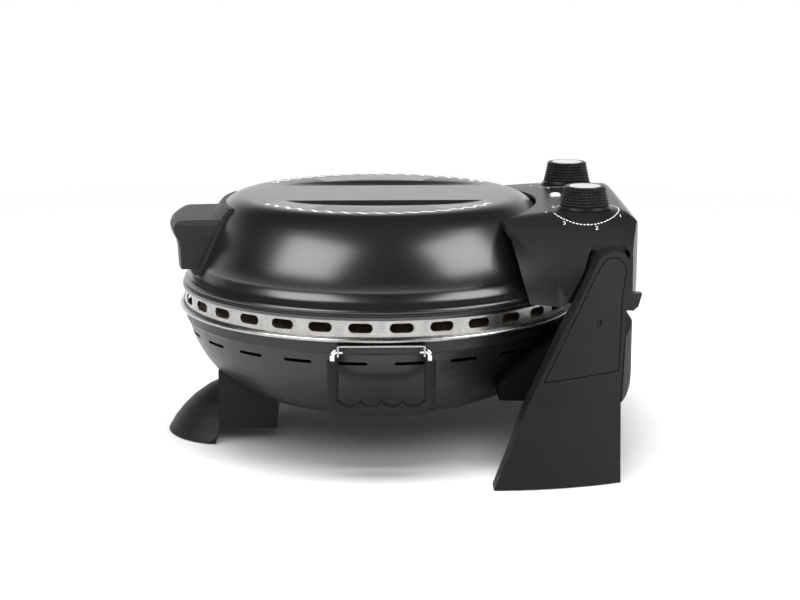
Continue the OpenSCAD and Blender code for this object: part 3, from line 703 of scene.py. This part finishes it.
class PIZZA_OT_cut_knobs(bpy.types.Operator):
    """Build the two knobs with rows of small studs"""

    bl_idname = "pizza.cut_knobs"
    bl_label = "Cut the knobs"

    def execute(self, context):
        s = context.scene.pizza_knobs
        look = knob_moulding(context.scene.pizza_colours)
        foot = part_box("thermostat_knob")[0].z
        for name, spot in KNOB_SPOTS.items():
            mesh = mesh_from(name + "_knurled_knob", *turned(self.rings(s, foot), spot))
            mesh.set_sharp_from_angle(angle=math.radians(40))
            body = "right_knob" if spot[0] > 0 else "left_knob"
            knob = new_piece(name + "_knurled_knob", mesh, look, body)
            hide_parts(name + "_knob")
        return {"FINISHED"}

    def rings(self, s, foot):
        """Rings of a knob, from its foot to the floor of the well that its disc lies in"""
        band, rim, bevel, lip, taper, shoulder = 0.0030, 0.0013, 0.0004, 0.0003, 0.0001, 0.0007
        well, well_floor, well_depth = 0.0139, 0.0137, 0.0011
        slope = (s.base - s.top) / s.height
        pitch = (s.height - band - rim) / s.rows
        top = s.height - rim
        # A stud's section: how deep it lies in the groove, round the knob and up it
        stud_across = (1.0, 0.3, 0.0, 0.0, 0.3)
        stud_up = ((0.0, 1.0), (0.26, 0.3), (0.38, 0.0), (0.68, 0.0), (0.8, 0.3))
        studs = stud_across * s.columns
        plain = [0.0] * len(studs)
        # Each row: height, radius where it isn't the slope's, depth in grooves, and pattern round the knob
        rows = [(0.0, s.base - bevel, 0.0, plain), (bevel, s.base, 0.0, plain)]
        rows.append((band - lip, None, 0.0, plain))
        for k in range(s.rows):
            low = band + k * pitch
            rows += [(low + part * pitch, None, dip, studs) for part, dip in stud_up]
        rows += [(top, None, 1.0, plain), (top + lip, None, 0.0, plain),
                 (s.height - bevel, s.top - taper, 0.0, plain), (s.height, s.top - shoulder, 0.0, plain),
                 (s.height, well, 0.0, plain), (s.height - well_depth, well_floor, 0.0, plain)]
        made = []
        for up, radius, dip, pattern in rows:
            reach = s.base - slope * up if radius is None else radius
            made.append((foot + up, [reach - s.groove * max(dip, p) for p in pattern]))
        return made


# The dome's outline in millimetres, as distance out from the rim's wall and height over the dome's foot
LIP_OUT, MIDDLE_OUT, DOME_TOP = 1.5, -171.4, 78.8
RIM_OUTLINE = [
    (LIP_OUT, 0.0), (LIP_OUT, 2.2), (1.1, 2.8), (-0.1, 3.4), (-0.25, 4.6), (0.1, 5.4), (-0.1, 6.4),
    (-0.6, 7.3)]
SIDE_OUTLINE = [
    (-1.6, 8.4), (-4.9, 10.5), (-8.0, 13.2), (-10.3, 16.3), (-12.0, 19.4), (-13.5, 23.4), (-20.0, 38.4),
    (-27.5, 56.0), (-31.0, 63.8), (-33.4, 68.0), (-36.6, 71.8), (-40.6, 74.9), (-45.0, 77.0), (-50.0, 78.3),
    (-55.0, DOME_TOP)]
CROWN_OUTLINE = [(-90.0, DOME_TOP), (MIDDLE_OUT, DOME_TOP)]
INSIDE_OUTLINE = [
    (MIDDLE_OUT, 71.0), (-60.0, 71.0), (-44.0, 68.5), (-36.5, 62.0), (-29.6, 55.0), (-22.0, 38.0),
    (-15.5, 23.4), (-13.6, 19.4), (-10.5, 14.6), (-6.0, 11.6), (-2.4, 8.6), (-1.9, 5.0), (-1.9, 0.0)]


class PIZZA_OT_spin_dome(bpy.types.Operator):
    """Build the smooth dome with its rolled rim and two pressed flutes"""

    bl_idname = "pizza.spin_dome"
    bl_label = "Spin the dome"

    def execute(self, context):
        s = context.scene.pizza_dome
        low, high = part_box("lid_dome")
        wall = high.x - LIP_OUT / 1000
        outline = eased(RIM_OUTLINE, 2) + eased(SIDE_OUTLINE, 4) + CROWN_OUTLINE + INSIDE_OUTLINE
        rows = [(low.z + up / 1000, [wall + out / 1000] * s.around) for out, up in reversed(outline)]
        mesh = mesh_from("dome_shell", *turned(rows, (0.0, AXIS_Y), looped=True))
        mesh.set_sharp_from_angle(angle=math.radians(32))
        look = satin_dome_paint(context.scene.pizza_colours)
        dome = new_piece("dome_shell", mesh, look, "lid")
        self.press_flutes(context, dome, self.flute_cutter(s, high.z))
        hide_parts("lid_dome")
        return {"FINISHED"}

    def flute_cutter(self, s, top):
        """A mesh of two half troughs, upright on their inner edge, that stands a little over the dome"""
        along, across = 64, 16
        row = across + 1
        behind_axis, over_dome, hair, weld = 0.005, 0.002, 0.00001, 0.000002
        corners, faces = [], []
        for side in (1, -1):
            start = len(corners)
            for i in range(along + 1):
                v = 2 * i / along - 1
                depth = s.flute_depth * (1 - v * v)
                wide = s.flute_width * (1 - v * v) ** 0.5
                for k in range(row):
                    u = k / across
                    corners.append((side * (s.flute_edge + u * wide + hair),
                                    AXIS_Y + behind_axis + v * s.flute_length / 2, top - depth * (1 - u * u)))
            step = len(corners) - start
            corners += [(x, y, top + over_dome) for x, y, _ in corners[start:]]
            for i in range(along):
                for k in range(across):
                    a = start + i * row + k
                    quad = (a, a + 1, a + row + 1, a + row)
                    faces += [quad, tuple(q + step for q in reversed(quad))]
            edge = [start + k for k in range(row)]
            edge += [start + i * row + across for i in range(1, along + 1)]
            edge += [start + along * row + k for k in reversed(range(across))]
            edge += [start + i * row for i in reversed(range(1, along))]
            faces += [(a, a + step, b + step, b) for a, b in zip(edge, edge[1:] + edge[:1])]
        mesh = mesh_from("flute_cutter", corners, faces)
        shaper = bmesh.new()
        shaper.from_mesh(mesh)
        bmesh.ops.remove_doubles(shaper, verts=shaper.verts, dist=weld)
        bmesh.ops.recalc_face_normals(shaper, faces=shaper.faces)
        shaper.to_mesh(mesh)
        shaper.free()
        return mesh

    def press_flutes(self, context, dome, mesh):
        """Cuts the flutes out of the dome's own mesh"""
        cutter = bpy.data.objects.new("flute_cutter", mesh)
        context.scene.collection.objects.link(cutter)
        cut = dome.modifiers.new("flutes", "BOOLEAN")
        cut.operation = "DIFFERENCE"
        cut.solver = "EXACT"
        cut.object = cutter
        shown = dome.evaluated_get(context.evaluated_depsgraph_get())
        pressed = bpy.data.meshes.new_from_object(shown)
        dome.modifiers.clear()
        dome.data = pressed
        pressed.set_sharp_from_angle(angle=math.radians(24))
        bpy.data.objects.remove(cutter)


class PIZZA_OT_print_ornament(bpy.types.Operator):
    """Print the wavy line along both sides of the dome's top"""

    bl_idname = "pizza.print_ornament"
    bl_label = "Print the dome's wavy line"

    def execute(self, context):
        s = context.scene.pizza_ornament
        steps = 240
        # Half the line's width, as a share of its greatest width, is this much and swells by this much
        half_share, swell = 0.34, 0.16
        waves = 2.0 * s.reach * s.radius / s.pitch
        paths = []
        for side in (0.0, math.pi):
            path = []
            for i in range(steps + 1):
                t = i / steps
                turn = side + (2 * t - 1) * s.reach
                phase = 2 * math.pi * waves * t
                middle = s.radius + s.wave * math.sin(phase)
                half = s.width * (half_share + swell * math.cos(phase))
                path.append(tuple(on_circle((0.0, AXIS_Y), r, turn) for r in (middle - half, middle + half)))
            paths.append(path)
        mesh = mesh_from("dome_wavy_line", *strip_on(surface_of("lid_dome"), paths))
        new_piece("dome_wavy_line", mesh, white_print(), "lid")
        return {"FINISHED"}


class PIZZA_OT_print_dials(bpy.types.Operator):
    """Print the dashed rings and plain numbers round the knobs"""

    bl_idname = "pizza.print_dials"
    bl_label = "Print the dials"

    def execute(self, context):
        s = context.scene.pizza_dials
        tree = surface_of("control_housing")
        look = white_print()
        for name, spot in KNOB_SPOTS.items():
            scale = mesh_from(name + "_scale", *strip_on(tree, self.dashes(s, spot)), smooth=False)
            new_piece(name + "_scale", scale, look, "lid")
            figures = mesh_from(name + "_figures", *self.figures(context, tree, s, spot), smooth=False)
            new_piece(name + "_figures", figures, look, "lid")
        return {"FINISHED"}

    def dashes(self, s, spot):
        """Paths of the ring's dashes, with a gap on the side of the dome"""
        count, gap, first = 60, range(26, 34), 90
        paths = []
        for i in range(count):
            if i in gap:
                continue
            middle = first + i * 360 // count
            turns = [math.radians(middle + d) for d in (-2.0, -1.0, 0.0, 1.0, 2.0)]
            paths.append([tuple(on_circle(spot, r, a) for r in (s.ring, s.ring + s.dash)) for a in turns])
        return paths

    def figures(self, context, tree, s, spot):
        """Corners and faces of the numbers outside the ring, which read from the oven's right side"""
        first_turn, turn_step, beyond_ring, size_of_height = 60, 48, 0.0048, 1.4
        corners, faces = [], []
        for count in range(1, 7):
            text = bpy.data.curves.new("figure", "FONT")
            text.body = str(count)
            text.size = s.figure * size_of_height
            text.align_x = "CENTER"
            text.align_y = "CENTER"
            shown = bpy.data.objects.new("figure", text)
            context.scene.collection.objects.link(shown)
            context.view_layer.update()
            flat = shown.to_mesh()
            turn = math.radians(first_turn - turn_step * (count - 1))
            middle = Vector(on_circle(spot, s.ring + beyond_ring, turn))
            start = len(corners)
            corners += [onto(tree, middle.x - v.co.y, middle.y + v.co.x) for v in flat.vertices]
            faces += [tuple(start + k for k in p.vertices) for p in flat.polygons]
            shown.to_mesh_clear()
            bpy.data.objects.remove(shown)
            bpy.data.curves.remove(text)
        return corners, faces


class PIZZA_OT_build_stage(bpy.types.Operator):
    """Lay the floor and set the world, the soft lights and the camera"""

    bl_idname = "pizza.build_stage"
    bl_label = "Build the studio"

    def execute(self, context):
        s = context.scene.pizza_studio
        oven_middle = (0.0, 0.0, 0.15)
        self.lay_floor(context)
        self.set_world(context, s.room)
        self.hang_light(context, "right_softbox", s.side, size=1.3, place=(0.74, 1.36, 1.08), aim=oven_middle)
        self.hang_light(context, "left_softbox", s.side, size=1.3, place=(1.00, -1.17, 1.08), aim=oven_middle)
        self.hang_light(context, "overhead_light", s.key, size=2.0, place=(0.0, 0.0, 2.1),
                        aim=(0.0, 0.0, 0.0), mirrored=False)
        self.hang_light(context, "front_fill", s.fill, size=1.2, place=(1.6, 0.0, 1.3),
                        aim=(0.0, 0.0, 0.1), mirrored=False)
        self.set_camera(context, s.lens)
        context.scene.view_settings.view_transform = "Standard"
        return {"FINISHED"}

    def set_camera(self, context, lens):
        """Stands the camera at the photograph's viewing angle, level from side to side"""
        place = (1.8478, -0.0450, 0.4960)
        ahead = Vector((-0.97918, 0.02411, -0.20152)).normalized()
        camera = bpy.data.cameras.new("camera")
        camera.lens = lens
        camera.sensor_width = 36.0
        camera.clip_end = 50.0
        stand = bpy.data.objects.new("camera", camera)
        context.scene.collection.objects.link(stand)
        right = ahead.cross(Vector((0.0, 0.0, 1.0))).normalized()
        turn = Matrix((right, right.cross(ahead), -ahead)).transposed()
        stand.matrix_world = Matrix.Translation(place) @ turn.to_4x4()
        context.scene.camera = stand

    def lay_floor(self, context):
        """A pale matt floor, which fades to the white behind it where the camera sees it far from the oven"""
        half, fade_from, fade_to, glow_strength = 3, 0.55, 1.5, 0.02
        corners = [(-half, -half, 0), (half, -half, 0), (half, half, 0), (-half, half, 0)]
        mesh = mesh_from("floor", corners, [(0, 1, 2, 3)], smooth=False)
        f = Finish("studio_floor", Roughness=1.0, Specular_IOR_Level=0.0)
        f.vary("Base Color", f.mix(f.noise(0.8), grey(0.90), grey(0.91)))
        rays = f.node("LightPath", out="Is Camera Ray")
        glow = f.node("Emission", sockets={"Color": (1.0, 1.0, 1.0, 1.0), "Strength": rays * glow_strength})
        lit = f.node("AddShader", sockets={0: Strand(f, f.shader.outputs[0]), 1: glow})
        x, y, _ = f.split(f.place())
        edge = f.spread(span(x, y), 0.0, 1.0, fade_from, fade_to) * rays
        mixed = f.node("MixShader", sockets={0: edge, 1: lit, 2: f.node("BsdfTransparent")})
        f.feed(f.tree.nodes["Material Output"].inputs["Surface"], mixed)
        floor = bpy.data.objects.new("floor", mesh)
        floor.data.materials.append(f.material)
        context.scene.collection.objects.link(floor)

    def set_world(self, context, room):
        """White behind the oven for the camera and in reflections, and a plain grey room for the rest"""
        dark, bright = 0.03, 1.45
        world = bpy.data.worlds.new("studio")
        context.scene.world = world
        world.use_nodes = True
        f = Nodes(world.node_tree)
        f.tree.nodes.clear()
        camera, glossy, clear = (f.node("LightPath", out=name) for name in (
            "Is Camera Ray", "Is Glossy Ray", "Is Transmission Ray"))
        x, _, z = f.split(f.node("TexCoord", out="Generated"))
        # The white fades to the sides and upwards
        behind = f.spread(x, 1.0, 0.0, -0.85, -0.25) * f.spread(z, 1.0, 0.0, 0.18, 0.50)
        level = f.blend(glossy, room, dark + bright * behind)
        level = f.blend(f.maths("MAXIMUM", camera, clear), level, 1.0)
        sky = f.node("Background", sockets={"Color": (1.0, 1.0, 1.0, 1.0), "Strength": level})
        f.node("OutputWorld", sockets={"Surface": sky}, out=None)

    def hang_light(self, context, name, power, size, place, aim, mirrored=True):
        """A square soft light, which is seen in reflections alone or lights surfaces alone"""
        lamp = bpy.data.lights.new(name, "AREA")
        lamp.energy = power
        lamp.size = size
        hung = bpy.data.objects.new(name, lamp)
        context.scene.collection.objects.link(hung)
        hung.visible_glossy = mirrored
        hung.visible_diffuse = not mirrored
        hung.location = place
        hung.rotation_euler = (Vector(aim) - Vector(place)).to_track_quat("-Z", "Y").to_euler()


# ---- Registering and running ----


GROUPS = {
    DomeSizes: "pizza_dome",
    OrnamentSizes: "pizza_ornament",
    DialSizes: "pizza_dials",
    KnobSizes: "pizza_knobs",
    FinishColours: "pizza_colours",
    StudioSizes: "pizza_studio",
}

STEPS = (
    PIZZA_OT_dress_base,
    PIZZA_OT_dress_bails,
    PIZZA_OT_dress_lid,
    PIZZA_OT_cut_knobs,
    PIZZA_OT_spin_dome,
    PIZZA_OT_print_ornament,
    PIZZA_OT_print_dials,
    PIZZA_OT_build_stage,
)


class PIZZA_PT_steps(bpy.types.Panel):
    """Lists the steps and the sizes they use"""

    bl_idname = "PIZZA_PT_steps"
    bl_label = "Pizza maker"
    bl_space_type = "VIEW_3D"
    bl_region_type = "UI"
    bl_category = "Pizza maker"

    def draw(self, context):
        for group, name in GROUPS.items():
            box = self.layout.box()
            box.label(text=group.__doc__)
            for key in group.__annotations__:
                box.prop(getattr(context.scene, name), key)
        for step in STEPS:
            self.layout.operator(step.bl_idname)


def register():
    for group, name in GROUPS.items():
        bpy.utils.register_class(group)
        setattr(bpy.types.Scene, name, bpy.props.PointerProperty(type=group))
    for part in (*STEPS, PIZZA_PT_steps):
        bpy.utils.register_class(part)


def unregister():
    for part in (PIZZA_PT_steps, *reversed(STEPS)):
        bpy.utils.unregister_class(part)
    for group, name in GROUPS.items():
        delattr(bpy.types.Scene, name)
        bpy.utils.unregister_class(group)


def main():
    """Builds everything in order"""
    register()
    for step in STEPS:
        area, name = step.bl_idname.split(".")
        getattr(getattr(bpy.ops, area), name)()


if __name__ == "__main__":
    main()
